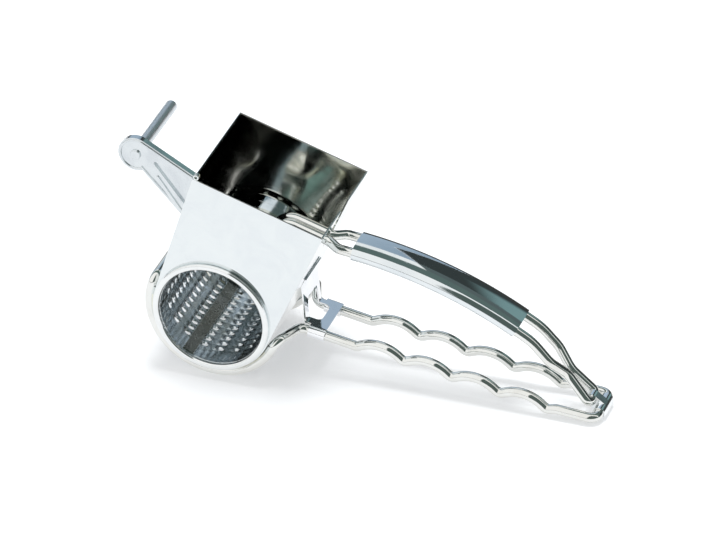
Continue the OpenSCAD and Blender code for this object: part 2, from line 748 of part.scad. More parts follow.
module crank_arm() color([0.93, 0.95, 0.96]) placed() rotate([0, -crank_angle, 0]) {
  wall = 0.8;
  web_sink = 1.2;
  rib_a = [crank_len - 14, 3.4];
  rib_b = [28, 15.6];
  rib_dir = unit(rib_b - rib_a);
  rib_half = 0.8;
  rib_side = (rib_half - tuck) * [-rib_dir.y, rib_dir.x];
  difference() {
    union() {
      xz(arm_y, arm_t) arm_outline();
      xz(arm_y, rim_depth) difference() {
        arm_outline();
        arm_outline(wall);
      }
      xz(arm_y, web_sink + wall) web_outline(wall);
      xz(arm_y - 0.6, 1) {
        polygon([rib_a - rib_side, rib_b - rib_side, rib_b + rib_side, rib_a + rib_side]);
        for (p = [rib_a, rib_b]) translate(p) circle(rib_half);
      }
    }
    xz(arm_y - 2, 2 + web_sink) web_outline();
    xz(arm_y - 1, 3) square(square_w + 2 * seat_gap, center = true);
    xz(arm_y - 1, 3) translate([crank_len, 0]) circle(pin_r + seat_gap);
  }
}

module crank_washer() color([0.75, 0.75, 0.72]) placed() {
  washer_t = 0.5;
  washer_wide = 3.5;
  about_y() translate([shaft_r + seat_gap, arm_y - washer_t]) square([washer_wide, washer_t]);
}

module crank_nut() color([0.7, 0.7, 0.68]) placed() {
  nut_r = 5.6;
  nut_t = 4;
  difference() {
    xz(arm_y + arm_t, nut_t) circle(r = nut_r, $fn = 6);
    xz(arm_y, nut_t + 2) circle(stud_r + seat_gap);
  }
}

// Rivet that the crank's grip turns on
module grip_pin() color([0.85, 0.86, 0.86]) placed()
  translate([crank_tip.x, 0, crank_tip.y]) about_y() {
    head_r = 2.5;
    dome_r = 3.9;
    dome_mid = 2.9;
    // The head is the part of a ball that stands out of the disc's front
    intersection() {
      translate([0, arm_y + dome_mid]) circle(dome_r);
      translate([0, arm_y - dome_r]) square([head_r, dome_r]);
    }
    translate([0, arm_y - 0.1]) square([pin_r, crank_grip_len - 1]);
  }

module crank_grip() color([0.65, 0.69, 0.7]) placed()
  translate([crank_tip.x, 0, crank_tip.y]) about_y() {
    r = crank_grip_d / 2;
    edge_r = 1.2;
    y0 = arm_y + arm_t + 0.4;
    bore = pin_r + run_gap;
    closed = 1.4;
    translate([bore, y0]) square([r - bore, crank_grip_len - edge_r]);
    translate([0, y0 + crank_grip_len - closed - 0.1])
      square([r - edge_r, closed + 0.1]);
    translate([0, y0 + crank_grip_len - closed - 0.1]) square([r, closed + 0.1 - edge_r]);
    intersection() {
      translate([r - edge_r, y0 + crank_grip_len - edge_r]) circle(edge_r);
      translate([0, y0]) square([r, crank_grip_len]);
    }
  }

front_plate();
back_plate();
left_wall();
right_wall();
corner_tab();
near_hoop();
far_hoop();
near_leg();
far_leg();
cross_bar();
hinge_bar();
leg_bracket();
back_bush();
near_handle_rod();
far_handle_rod();
handle_end_bar();
grip_plate();
presser_plate();
hinge_clip();
drum_shell();
drum_seam();
drum_rim();
drum_back();
drum_shaft();
crank_arm();
crank_washer();
crank_nut();
grip_pin();
crank_grip();
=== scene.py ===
"""Looks of a hand grater with a rotary drum: bright sheet hopper, bent wire frame, punched drum,
crank and hinged pressing handle. Pieces are drawn in the hopper's own frame, in millimetres,
and then leaned over onto the table, as the frame's solids are."""

import math

import bmesh
import bpy
from mathutils import Matrix, Vector

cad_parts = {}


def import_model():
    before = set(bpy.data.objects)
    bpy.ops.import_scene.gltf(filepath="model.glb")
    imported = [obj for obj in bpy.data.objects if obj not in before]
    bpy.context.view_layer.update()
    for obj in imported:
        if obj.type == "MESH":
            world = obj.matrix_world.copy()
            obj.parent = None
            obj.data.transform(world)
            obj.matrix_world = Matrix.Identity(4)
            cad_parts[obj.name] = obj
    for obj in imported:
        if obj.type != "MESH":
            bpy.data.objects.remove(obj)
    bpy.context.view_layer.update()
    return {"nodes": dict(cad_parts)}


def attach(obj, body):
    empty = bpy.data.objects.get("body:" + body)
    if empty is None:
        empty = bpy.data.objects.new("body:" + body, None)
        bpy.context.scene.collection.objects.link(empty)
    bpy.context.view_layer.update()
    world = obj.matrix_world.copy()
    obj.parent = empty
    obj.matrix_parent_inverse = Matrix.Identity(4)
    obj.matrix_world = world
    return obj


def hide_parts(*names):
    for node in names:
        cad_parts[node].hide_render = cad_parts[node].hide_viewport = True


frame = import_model()
scene = bpy.context.scene

# The hopper's frame in the row frame: drum axis along Y, mouth at y = 0, handles towards +X
LEAN = math.radians(17.514)
HEAD = (
    Matrix.Translation((-0.054103, -0.05255, 0.03265))
    @ Matrix.Rotation(LEAN, 4, "Y")
    @ Matrix.Scale(0.001, 4)
)

# Hopper: length, sheet, radius of its bottom, corner of its rim from the drum's axis
HOPPER_LEN = 59.3
MID_Y = HOPPER_LEN / 2
SHEET = 0.8
PLATE_R = 28.0
RIM_X, RIM_Z = 35.2, 64.6
WALL_LEAN = math.atan2(RIM_Z, RIM_X) - math.acos(PLATE_R / math.hypot(RIM_X, RIM_Z))

# Rods, the gap between pieces that are fixed together, and the gap inside the curled grip
ROD = 4.6
SEAT_GAP = 0.05
CURL_GAP = 0.1

# Hoops: middle line, where the round part ends and how it leads to the leg
HOOP_R = PLATE_R + SEAT_GAP + ROD / 2
HOOP_Y = SHEET + ROD / 2
HOOP_END = math.radians(350)
HOOP_EXIT = 5
HOOP_BEND = 5
CROSS_Z = 3.5

# Legs: s runs along a leg and n across it, upwards
LEG_GAP = 21.3
LEG_RISE = math.radians(8.45)
LEG_ROOT = Vector((36.5, MID_Y - LEG_GAP / 2, 0.8))
LEG_CUT = 4.2
FIRST_DIP, DIP_PITCH, DIPS = 26.8, 22.5, 5
DIP_RISE, DIP_SINK = 7.2, 0.5
DIP_BEND, CREST_BEND, END_CREST_BEND, CORNER_BEND = 3.5, 16, 8, 4
LAST_DIP = FIRST_DIP + (DIPS - 1) * DIP_PITCH
END_CREST = (LAST_DIP + 3.8, 1.25)
LEG_END = (LAST_DIP + 22.5, 2.7)

# Handle: the grip's arc, half widths between the rods, and the way down to the hinge
GRIP_R, GRIP_LEN, GRIP_MID, GRIP_TOP, ARC_X = 200.0, 80.0, 86.5, 50.9, 85.0
ARC_TURN = math.asin((ARC_X - GRIP_MID) / GRIP_R)
ARC_HALF = math.asin(GRIP_LEN / 2 / GRIP_R)
ARC_FROM, ARC_TO = -ARC_HALF - ARC_TURN, ARC_HALF - ARC_TURN
HALF_FROM, HALF_TO, KNEE_HALF, NECK_HALF, END_HALF = 6.2, 6.4, 6.7, 2.5, 5.0
PINCH_HALF = ROD / 2 + 0.1
GRIP_CROWN = 0.8
PRESS_END_X, PRESS_BEND_X, NECK_FROM_X, NECK_TO_X = -3, 3.5, 13, 34.5
NECK_Z = 44.8
PRESS_TOP = 27.6
LEAD_LEN = 7
CLIP_PITCH, CLIP_RISE = 5.7, 2
PINCH_BACK, KNEE_BACK = 13.8, 9
FALL = math.tan(math.radians(29.5))

# Drum: sheet, plain bands at its ends, rows of teeth, plain strip at its seam, mouth ring and
# the collar behind it
DRUM_R, DRUM_T, DRUM_FRONT, DRUM_BACK = 25.2, 0.8, -0.3, 57.8
MOUTH_BAND, BACK_BAND = 10.8, 3
ROWS, ROW_TEETH = 20, 11
SEAM, SEAM_EXTRA = math.radians(258.5), math.radians(4.2)
ROW_PITCH = (2 * math.pi - SEAM_EXTRA) / ROWS
TOOTH_PITCH = (DRUM_BACK - DRUM_FRONT - MOUTH_BAND - BACK_BAND) / (ROW_TEETH - 1)
RING_IN, RING_OUT, RING_BALL = 24.5, 27.4, 1.0
COLLAR_IN, COLLAR_OUT, COLLAR_BACK = 25.25, 26.2, 3.0

# Crank: from the drum's axis to its grip's axis, the front face of its arm, the width of the
# raised edges and their radius round the disc, and its tube
CRANK_LEN, CRANK_TURN = 69.4, math.radians(166.5)
CRANK_TIP = (CRANK_LEN * math.cos(CRANK_TURN), CRANK_LEN * math.sin(CRANK_TURN))
ARM_Y = HOPPER_LEN + 2.7
RIDGE, RIDGE_Y, RIDGE_R = 1.2, ARM_Y + 0.1, 7.4
TUBE_Y, TUBE_LEN, TUBE_R, TUBE_BORE_R = ARM_Y + 1.4, 44.0, 2.8, 1.58


# Camera

def camera():
    """Long lens above and in front of the grater, to the right of the hopper."""
    data = bpy.data.cameras.new("camera")
    data.lens = 306.48
    data.sensor_width = 36
    data.clip_start, data.clip_end = 0.5, 20
    obj = bpy.data.objects.new("camera", data)
    scene.collection.objects.link(obj)
    right = Vector((0.940724, 0.339018, -0.010225))
    up = Vector((-0.176616, 0.515376, 0.838567))
    back = right.cross(up)
    turned_to = Matrix((right, up, back)).transposed().to_4x4()
    obj.matrix_world = Matrix.Translation((0.785797, -2.14667, 1.52074)) @ turned_to
    scene.camera = obj


# Node helpers

def node(tree, kind, inputs=None, **settings):
    """Adds a node; inputs are sockets to link or values to set, by name or number."""
    made = tree.nodes.new(kind)
    for key, value in settings.items():
        setattr(made, key, value)
    for key, value in (inputs or {}).items():
        if isinstance(value, bpy.types.NodeSocket):
            tree.links.new(value, made.inputs[key])
        else:
            made.inputs[key].default_value = value
    return made


def math_node(tree, operation, a, b=0.0, c=0.0):
    return node(tree, "ShaderNodeMath", {0: a, 1: b, 2: c}, operation=operation).outputs[0]


def ramp(tree, value, low, high, to_low=0.0, to_high=1.0):
    """Smooth step of a value from low to high."""
    return node(
        tree, "ShaderNodeMapRange",
        {"Value": value, "From Min": low, "From Max": high, "To Min": to_low, "To Max": to_high},
        interpolation_type="SMOOTHSTEP",
    ).outputs["Result"]


def mixed(tree, factor, a, b):
    return node(
        tree, "ShaderNodeMix", {0: factor, 6: a, 7: b}, data_type="RGBA"
    ).outputs[2]


# Studio

def back_wall(tree, x, height):
    """A pale panel on the left and a dark one on the right, which meet in a swallow tail with
    a bright edge, and the colour of the strip above them."""
    fork = math_node(tree, "ABSOLUTE", math_node(tree, "SUBTRACT", height, 0.16))
    slant = math_node(tree, "MULTIPLY_ADD", fork, -1.3, x)
    right = ramp(tree, slant, -0.09, -0.08)
    edge = math_node(tree, "MULTIPLY", right, math_node(tree, "SUBTRACT", 1.0, right))
    far_right = math_node(
        tree, "MULTIPLY", ramp(tree, slant, 0.1, 0.24), ramp(tree, x, 0.5, 0.4)
    )
    panel = mixed(tree, ramp(tree, x, -0.3, 0.05), (0.42, 0.52, 0.62, 1), (0.3, 0.39, 0.48, 1))
    dark = mixed(tree, far_right, (0.04, 0.05, 0.05, 1), (0.2, 0.32, 0.32, 1))
    wall = mixed(tree, right, panel, dark)
    wall = mixed(tree, math_node(tree, "MULTIPLY", edge, 3.2), wall, (0.9, 0.93, 0.95, 1))
    strip = mixed(tree, right, (0.95, 0.96, 0.95, 1), (0.1, 0.13, 0.13, 1))
    return wall, strip


def front_wall(tree, x, height):
    """Bright, and dark low down on the right."""
    low_right = math_node(tree, "MULTIPLY_ADD", height, 0.85, x)
    shaded = math_node(
        tree, "MULTIPLY", ramp(tree, low_right, 0.76, 0.8), ramp(tree, height, 0.54, 0.57)
    )
    return mixed(tree, shaded, (1, 1, 0.99, 1), (0.09, 0.12, 0.11, 1))


def room(tree):
    """Walls and ceiling of the room, as the metal mirrors them."""
    way = node(tree, "ShaderNodeTexCoord").outputs["Generated"]
    x, y, z = node(tree, "ShaderNodeSeparateXYZ", {0: way}).outputs
    # Height angle in the plane across the handles: 0 at the back, 0.5 overhead, 1 in front
    height = math_node(tree, "DIVIDE", math_node(tree, "ARCTAN2", z, y), math.pi)
    wall, strip = back_wall(tree, x, height)
    seen = (0.05, 0.05, 0.045, 1)
    for low, high, colour in (
        (0.07, 0.08, wall),
        (0.262, 0.268, strip),
        (0.305, 0.315, (0.11, 0.16, 0.15, 1)),
        (0.44, 0.455, front_wall(tree, x, height)),
        (0.975, 0.985, (0.12, 0.13, 0.125, 1)),
    ):
        seen = mixed(tree, ramp(tree, height, low, high), seen, colour)
    return seen


def world():
    """White to the camera and pale to plain faces; only mirrored rays see the room."""
    made = bpy.data.worlds.new("studio")
    made.use_nodes = True
    tree = made.node_tree
    tree.nodes.clear()
    rays = node(tree, "ShaderNodeLightPath")
    plain = mixed(tree, rays.outputs["Is Camera Ray"], (0.58, 0.58, 0.58, 1), (1, 1, 1, 1))
    shown = mixed(tree, rays.outputs["Is Glossy Ray"], plain, room(tree))
    light = node(tree, "ShaderNodeBackground", {"Color": shown, "Strength": 1.0})
    out = node(tree, "ShaderNodeOutputWorld")
    tree.links.new(light.outputs[0], out.inputs["Surface"])
    scene.world = made


def table_white():
    """Full white in the picture and nearly so in reflections, but for the shadow."""
    made = bpy.data.materials.new("white_table")
    made.use_nodes = True
    tree = made.node_tree
    tree.nodes.clear()
    rays = node(tree, "ShaderNodeLightPath")
    mirrored_ray = rays.outputs["Is Glossy Ray"]
    seen = math_node(
        tree, "MULTIPLY_ADD", rays.outputs["Is Camera Ray"], 0.36,
        math_node(tree, "MULTIPLY", mirrored_ray, 0.58),
    )
    white = mixed(tree, mirrored_ray, (0.8, 0.82, 0.84, 1), (0.4, 0.41, 0.42, 1))
    cloth = node(tree, "ShaderNodeBsdfDiffuse", {"Color": white})
    glow = node(tree, "ShaderNodeEmission", {"Color": (1, 1, 1, 1), "Strength": seen})
    both = node(tree, "ShaderNodeAddShader", {0: cloth.outputs[0], 1: glow.outputs[0]})
    out = node(tree, "ShaderNodeOutputMaterial")
    tree.links.new(both.outputs[0], out.inputs["Surface"])
    return made


def floor():
    bm = bmesh.new()
    bmesh.ops.create_grid(bm, x_segments=1, y_segments=1, size=6)
    mesh = bpy.data.meshes.new("table_top")
    bm.to_mesh(mesh)
    bm.free()
    obj = bpy.data.objects.new("table_top", mesh)
    scene.collection.objects.link(obj)
    mesh.materials.append(table_white())


def lamp(name, place, aim, size, power):
    """Round soft lamp, which the metal doesn't mirror."""
    data = bpy.data.lights.new(name, "AREA")
    data.shape = "DISK"
    data.size = size
    data.energy = power
    obj = bpy.data.objects.new(name, data)
    scene.collection.objects.link(obj)
    obj.location = place
    obj.rotation_mode = "QUATERNION"
    obj.rotation_quaternion = (Vector(aim) - Vector(place)).to_track_quat("-Z", "Y")
    obj.visible_glossy = False


# Finishes

def marks_group():
    """Marks of use on bright metal: smudges, fine scratches, slow waves and worn edges; the
    worn edges also carry a painted edge highlight in metal().
    """
    tree = bpy.data.node_groups.new("metal_marks", "ShaderNodeTree")
    face = tree.interface
    socket = face.new_socket("Wave size", in_out="INPUT", socket_type="NodeSocketFloat")
    socket.default_value = 60.0
    for name in ("Smudge", "Scratch", "Wave", "Worn edge and highlight"):
        face.new_socket(name, in_out="OUTPUT", socket_type="NodeSocketFloat")
    given = tree.nodes.new("NodeGroupInput")
    out = tree.nodes.new("NodeGroupOutput")
    place = node(tree, "ShaderNodeTexCoord").outputs["Object"]
    smudge = node(tree, "ShaderNodeTexNoise", {
        "Vector": place, "Scale": 70.0, "Detail": 6.0, "Roughness": 0.62, "Distortion": 0.8,
    })
    brushed = node(tree, "ShaderNodeMapping", {
        "Vector": place, "Rotation": (0.3, 0.5, 0.4), "Scale": (0.05, 1.0, 1.0),
    })
    scratch = node(tree, "ShaderNodeTexNoise", {
        "Vector": brushed.outputs[0], "Scale": 900.0, "Detail": 3.0, "Roughness": 0.7,
    })
    wave = node(tree, "ShaderNodeTexNoise", {
        "Vector": place, "Scale": given.outputs["Wave size"], "Detail": 1.0, "Roughness": 0.4,
    })
    rounded = node(tree, "ShaderNodeBevel", {"Radius": 0.00025}, samples=4)
    plain = node(tree, "ShaderNodeNewGeometry").outputs["Normal"]
    along = node(
        tree, "ShaderNodeVectorMath", {0: rounded.outputs[0], 1: plain}, operation="DOT_PRODUCT"
    ).outputs["Value"]
    tree.links.new(ramp(tree, smudge.outputs[0], 0.35, 0.7), out.inputs["Smudge"])
    tree.links.new(ramp(tree, scratch.outputs[0], 0.56, 0.72), out.inputs["Scratch"])
    tree.links.new(wave.outputs[0], out.inputs["Wave"])
    # Mask of the rounded edges: worn, and where metal() paints an edge highlight
    tree.links.new(ramp(tree, along, 0.995, 0.9), out.inputs["Worn edge and highlight"])
    return tree


def inside_group():
    """1 on the faces that look into the hopper, 0 on its outside."""
    tree = bpy.data.node_groups.new("hopper_inside", "ShaderNodeTree")
    tree.interface.new_socket("Inside", in_out="OUTPUT", socket_type="NodeSocketFloat")
    out = tree.nodes.new("NodeGroupOutput")
    place = node(tree, "ShaderNodeTexCoord").outputs["Object"]
    moved = node(tree, "ShaderNodeVectorMath", {0: place, 1: HEAD.to_translation()},
                 operation="SUBTRACT")
    upright = node(tree, "ShaderNodeVectorRotate", {0: moved.outputs[0], "Angle": -LEAN},
                   rotation_type="Y_AXIS")
    x, y, z = node(tree, "ShaderNodeSeparateXYZ", {0: upright.outputs[0]}).outputs
    # Each wall is split in the middle of its sheet, within step on both sides
    half, step = SHEET / 2000, 1e-5
    bottom, back = PLATE_R / 1000 - half, HOPPER_LEN / 1000 - half
    slope = math_node(tree, "MULTIPLY", z, math.sin(WALL_LEAN))
    across = math_node(tree, "MULTIPLY_ADD", x, math.cos(WALL_LEAN), slope)
    mask = ramp(tree, x, -bottom - step, -bottom + step)
    for value, low, high in (
        (across, bottom + step, bottom - step),
        (y, half - step, half + step),
        (y, back + step, back - step),
    ):
        mask = math_node(tree, "MULTIPLY", mask, ramp(tree, value, low, high))
    tree.links.new(mask, out.inputs["Inside"])
    return tree


def grouped(tree, group):
    made = node(tree, "ShaderNodeGroup")
    made.node_tree = group
    return made


def metal(name, colour, stain, rough, wave, painted_inside=None, inside_wave=1):
    """Bright metal. stain is the smudges' colour, wave the size (per metre) and height (mm) of
    slow dents, painted_inside the painted reflection and shade colour of its faces in the
    hopper, which are also a little rougher, and inside_wave how many times higher the dents are
    there."""
    made = bpy.data.materials.new(name)
    made.use_nodes = True
    tree = made.node_tree
    shader = tree.nodes["Principled BSDF"]
    shader.inputs["Metallic"].default_value = 1.0
    group = grouped(tree, MARKS)
    group.inputs["Wave size"].default_value = wave[0]
    smudge, marks, dents, worn_edge_and_highlight = group.outputs
    base = mixed(tree, smudge, (*colour, 1), (*stain, 1))
    level = ramp(tree, smudge, 0, 1, rough[0], rough[1])
    level = math_node(tree, "MULTIPLY_ADD", marks, 0.06, level)
    level = math_node(tree, "MULTIPLY_ADD", worn_edge_and_highlight, 0.06, level)
    # Faces in the hopper: a painted reflection and shade colour, mottled by the smudges, which
    # also tints their reflections; they are a little rougher too
    if painted_inside:
        hidden = grouped(tree, INSIDE).outputs[0]
        painted_inside_tone = mixed(tree, smudge, (*painted_inside, 1), (*[v * 0.75 for v in painted_inside], 1))
        base = mixed(tree, hidden, base, painted_inside_tone)
        level = math_node(tree, "MULTIPLY_ADD", hidden, 0.05, level)
        dents = math_node(tree, "MULTIPLY", dents, ramp(tree, hidden, 0, 1, 1, inside_wave))
        inside_reflection_tint = mixed(tree, hidden, (1, 1, 1, 1), (*painted_inside, 1))
        tree.links.new(inside_reflection_tint, shader.inputs["Specular Tint"])
    # Edges lightened to near white: partly wear, partly a painted edge highlight
    base = mixed(tree, math_node(tree, "MULTIPLY", worn_edge_and_highlight, 0.8), base, (0.95, 0.95, 0.93, 1))
    slow = node(tree, "ShaderNodeBump", {
        "Height": dents, "Distance": wave[1] / 1000, "Strength": 1.0,
    })
    fine = node(tree, "ShaderNodeBump", {
        "Height": marks, "Distance": 0.000004, "Strength": 0.6, "Normal": slow.outputs[0],
    })
    tree.links.new(base, shader.inputs["Base Color"])
    tree.links.new(level, shader.inputs["Roughness"])
    tree.links.new(fine.outputs[0], shader.inputs["Normal"])
    return made


# Pieces

# Edges bent by more than this (degrees) stay sharp
CREASE = 32


def stand(name, bm, finish, body, nodes=None, crease=CREASE, head=True):
    """Makes a piece of a bmesh. It stands for the solid of its own name, unless nodes are
    given. head is for pieces drawn in the hopper's frame."""
    if nodes is None:
        nodes = [name.replace("-", "_")]
    if head:
        bmesh.ops.transform(bm, matrix=HEAD, verts=bm.verts)
    bmesh.ops.remove_doubles(bm, verts=bm.verts, dist=2e-7)
    bmesh.ops.recalc_face_normals(bm, faces=bm.faces)
    mesh = bpy.data.meshes.new(name)
    bm.to_mesh(mesh)
    bm.free()
    mesh.polygons.foreach_set("use_smooth", [True] * len(mesh.polygons))
    mesh.set_sharp_from_angle(angle=math.radians(crease))
    mesh.materials.append(finish)
    obj = bpy.data.objects.new(name, mesh)
    scene.collection.objects.link(obj)
    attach(obj, body)
    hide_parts(*nodes)
    return obj


def eased(solid, finish, body, ease=0.12):
    """A solid of the frame with its sharp edges rounded over by ease (mm)."""
    bm = bmesh.new()
    bm.from_mesh(frame["nodes"][solid].data)
    bmesh.ops.remove_doubles(bm, verts=bm.verts, dist=1e-6)
    bmesh.ops.dissolve_limit(
        bm, angle_limit=math.radians(1), verts=bm.verts, edges=bm.edges
    )
    sharp = [
        e for e in bm.edges
        if len(e.link_faces) == 2 and e.calc_face_angle(0) > math.radians(CREASE)
    ]
    bmesh.ops.bevel(
        bm, geom=sharp, offset=ease / 1000, offset_type="OFFSET", segments=2, profile=0.5,
        affect="EDGES", material=-1, clamp_overlap=True,
    )
    obj = stand(solid.replace("_", "-"), bm, finish, body, head=False)
    flat = obj.modifiers.new("flat_faces", "WEIGHTED_NORMAL")
    flat.keep_sharp = True
    flat.weight = 100


def pulled(bm, edges):
    """Extrudes edges in place, and gives the new vertices and edges."""
    grown = bmesh.ops.extrude_edge_only(bm, edges=edges)["geom"]
    verts = [v for v in grown if isinstance(v, bmesh.types.BMVert)]
    ends = [
        e for e in grown
        if isinstance(e, bmesh.types.BMEdge) and all(v in verts for v in e.verts)
    ]
    return verts, ends


def bent_rod(corners, bends, width=ROD, sides=28):
    """Round rod through the corners, with a bend radius at each."""
    points = [Vector(p) for p in corners]
    ways = [(b - a).normalized() for a, b in zip(points, points[1:])]
    bm = bmesh.new()
    facing = ways[0].to_track_quat("Z", "Y").to_matrix().to_4x4()
    bmesh.ops.create_circle(
        bm, cap_ends=False, segments=sides, radius=width / 2,
        matrix=Matrix.Translation(points[0]) @ facing,
    )
    edges = bm.edges[:]
    bmesh.ops.edgeloop_fill(bm, edges=edges)
    here = points[0]
    for i, way in enumerate(ways):
        last = i == len(ways) - 1
        turn = 0 if last else way.angle(ways[i + 1])
        trim = 0 if last else bends[i + 1] * math.tan(turn / 2)
        stop = points[i + 1] - way * trim
        if (stop - here).length > 0.02:
            verts, edges = pulled(bm, edges)
            bmesh.ops.translate(bm, verts=verts, vec=stop - here)
        if last:
            break
        side = (ways[i + 1] - way * way.dot(ways[i + 1])).normalized()
        swung = bmesh.ops.spin(
            bm, geom=edges, cent=stop + side * bends[i + 1],
            axis=way.cross(ways[i + 1]).normalized(), dvec=(0, 0, 0), angle=turn,
            steps=max(2, round(math.degrees(turn) / (4 if bends[i + 1] > 10 else 9))),
            use_merge=False, use_duplicate=False,
        )["geom_last"]
        edges = [e for e in swung if isinstance(e, bmesh.types.BMEdge)]
        here = points[i + 1] + ways[i + 1] * trim
    bmesh.ops.edgeloop_fill(bm, edges=edges)
    return bm


def mirrored(bm):
    """Turns a piece over to the far side of the middle plane."""
    flip = Matrix.Translation((0, 2 * MID_Y, 0)) @ Matrix.Scale(-1, 4, (0, 1, 0))
    bmesh.ops.transform(bm, verts=bm.verts, matrix=flip)
    return bm


def turned(profile, centre=(0, 0), steps=96, closed=True, turn=None):
    """Spins a profile of (radius, y) points about an axis along Y, from the X axis. Without a
    turn it goes all the way round."""
    bm = bmesh.new()
    verts = [bm.verts.new((r, y, 0)) for r, y in profile]
    pairs = list(zip(verts, verts[1:])) + ([(verts[-1], verts[0])] if closed else [])
    edges = [bm.edges.new(pair) for pair in pairs]
    bmesh.ops.spin(
        bm, geom=verts + edges, cent=(0, 0, 0), axis=(0, 1, 0), dvec=(0, 0, 0),
        angle=turn or 2 * math.pi, steps=steps, use_merge=turn is None, use_duplicate=False,
    )
    bmesh.ops.remove_doubles(bm, verts=bm.verts, dist=1e-4)
    if turn:
        bmesh.ops.holes_fill(bm, edges=[e for e in bm.edges if len(e.link_faces) == 1])
    bmesh.ops.translate(bm, verts=bm.verts, vec=(centre[0], 0, centre[1]))
    return bm


def arc_points(cx, cy, r, start, stop, steps):
    """Points of (radius, y) on a round corner, angles in degrees."""
    return [
        (cx + r * math.cos(math.radians(start + (stop - start) * k / steps)),
         cy + r * math.sin(math.radians(start + (stop - start) * k / steps)))
        for k in range(steps + 1)
    ]


# Bent wire

def leg_at(s, n):
    """Point of the near leg's middle line, s along it and n above it."""
    return LEG_ROOT + s * Vector((math.cos(LEG_RISE), 0, math.sin(LEG_RISE))) + n * Vector(
        (-math.sin(LEG_RISE), 0, math.cos(LEG_RISE))
    )


FIRST_RISE = LEG_RISE - math.atan2(DIP_SINK, FIRST_DIP)
LEG_START = LEG_ROOT + LEG_CUT * Vector((math.cos(FIRST_RISE), 0, math.sin(FIRST_RISE)))
HINGE = leg_at(*LEG_END)
HINGE_CORNER = HINGE + Vector((0, CORNER_BEND, 0))


def hoop_path():
    """From the cross bar round the plate's bottom, and in to the leg."""
    half = (HOOP_END - math.pi) / 4
    outer = HOOP_R / math.cos(half)

    def on(r, a):
        return Vector((r * math.cos(a), HOOP_Y, r * math.sin(a)))

    forward = Vector((-math.sin(HOOP_END), 0, math.cos(HOOP_END)))
    corners = [
        (-HOOP_R, HOOP_Y + CROSS_Z, CROSS_Z), (-HOOP_R, HOOP_Y, CROSS_Z),
        on(outer, math.pi + half), on(outer, math.pi + 3 * half),
        on(HOOP_R, HOOP_END) + HOOP_EXIT * forward,
        LEG_ROOT, LEG_START,
    ]
    # A little tighter than the hoop, so that a short straight run is left between the bends
    tight = HOOP_R - 0.04
    return corners, [0, CROSS_Z, tight, tight, HOOP_BEND, HOOP_BEND, 0]


def leg_path():
    """Finger dips, a last low crest and the corner at the hinge."""
    corners, bends = [LEG_START], [0]
    for k in range(DIPS):
        corners.append(leg_at(FIRST_DIP + k * DIP_PITCH, -DIP_SINK))
        bends.append(DIP_BEND)
        if k < DIPS - 1:
            corners.append(leg_at(FIRST_DIP + (k + 0.5) * DIP_PITCH, DIP_RISE - DIP_SINK))
            bends.append(CREST_BEND)
    corners += [leg_at(*END_CREST), HINGE, HINGE_CORNER]
    return corners, bends + [END_CREST_BEND, CORNER_BEND, 0]


def arc_at(a):
    """Point of the rods' middle line along the grip."""
    return ARC_X + GRIP_R * math.sin(a), GRIP_TOP - GRIP_R + GRIP_R * math.cos(a)


def half_at(x):
    """Half the distance between the rods under the grip."""
    low, high = arc_at(ARC_FROM)[0], arc_at(ARC_TO)[0]
    return HALF_FROM + (HALF_TO - HALF_FROM) * (x - low) / (high - low)


def handle_path():
    """From the pressing plate through the slot, under the grip and down to the hinge end."""
    end_x, end_z = HINGE.x - CLIP_PITCH, HINGE.z + CLIP_RISE
    start, stop = arc_at(ARC_FROM), arc_at(ARC_TO)
    mid = (ARC_FROM + ARC_TO) / 2
    outer = GRIP_R / math.cos((ARC_TO - ARC_FROM) / 2)
    crown = (ARC_X + outer * math.sin(mid), GRIP_TOP - GRIP_R + outer * math.cos(mid))
    lead = (start[0] - LEAD_LEN * math.cos(ARC_FROM), start[1] + LEAD_LEN * math.sin(ARC_FROM))
    slope = math.tan(ARC_TO)
    drop_x = (end_z + FALL * end_x - stop[1] - slope * stop[0]) / (FALL - slope)
    pinch_x = end_x - PINCH_BACK
    knee_x = pinch_x - KNEE_BACK
    seat_z = PRESS_TOP + SEAT_GAP + ROD / 2

    def drop_line(x):
        return end_z + FALL * (end_x - x)

    lines = [
        (PRESS_END_X, NECK_HALF, seat_z), (PRESS_BEND_X, NECK_HALF, seat_z),
        (NECK_FROM_X, NECK_HALF, NECK_Z), (NECK_TO_X, NECK_HALF, NECK_Z),
        (lead[0], half_at(lead[0]), lead[1]), (crown[0], half_at(crown[0]), crown[1]),
        (drop_x, half_at(drop_x), drop_line(drop_x)),
        (knee_x, KNEE_HALF, drop_line(knee_x)),
        (pinch_x, PINCH_HALF, drop_line(pinch_x)),
        (end_x, END_HALF, end_z),
    ]
    corners = [Vector((x, MID_Y - half, z)) for x, half, z in lines]
    turn = (corners[-1] - corners[-2]).angle(Vector((0, 1, 0)))
    end_bend = PINCH_HALF
    corners.append(corners[-1] + Vector((0, end_bend * math.tan(turn / 2), 0)))
    return corners, [0, 4, 8, 5, 5, GRIP_R, 25, 10, 8, end_bend, 0]


def rod_pair(name, path, body):
    """A bent rod on the near side and its mirror image on the far side."""
    stand("near-" + name, bent_rod(*path), wire, body)
    stand("far-" + name, mirrored(bent_rod(*path)), wire, body)


def bar(name, start, body):
    """A straight rod from a point on the near side to its mirror image."""
    stop = (start[0], 2 * MID_Y - start[1], start[2])
    stand(name, bent_rod([start, stop], [0, 0]), wire, body)


# Drum

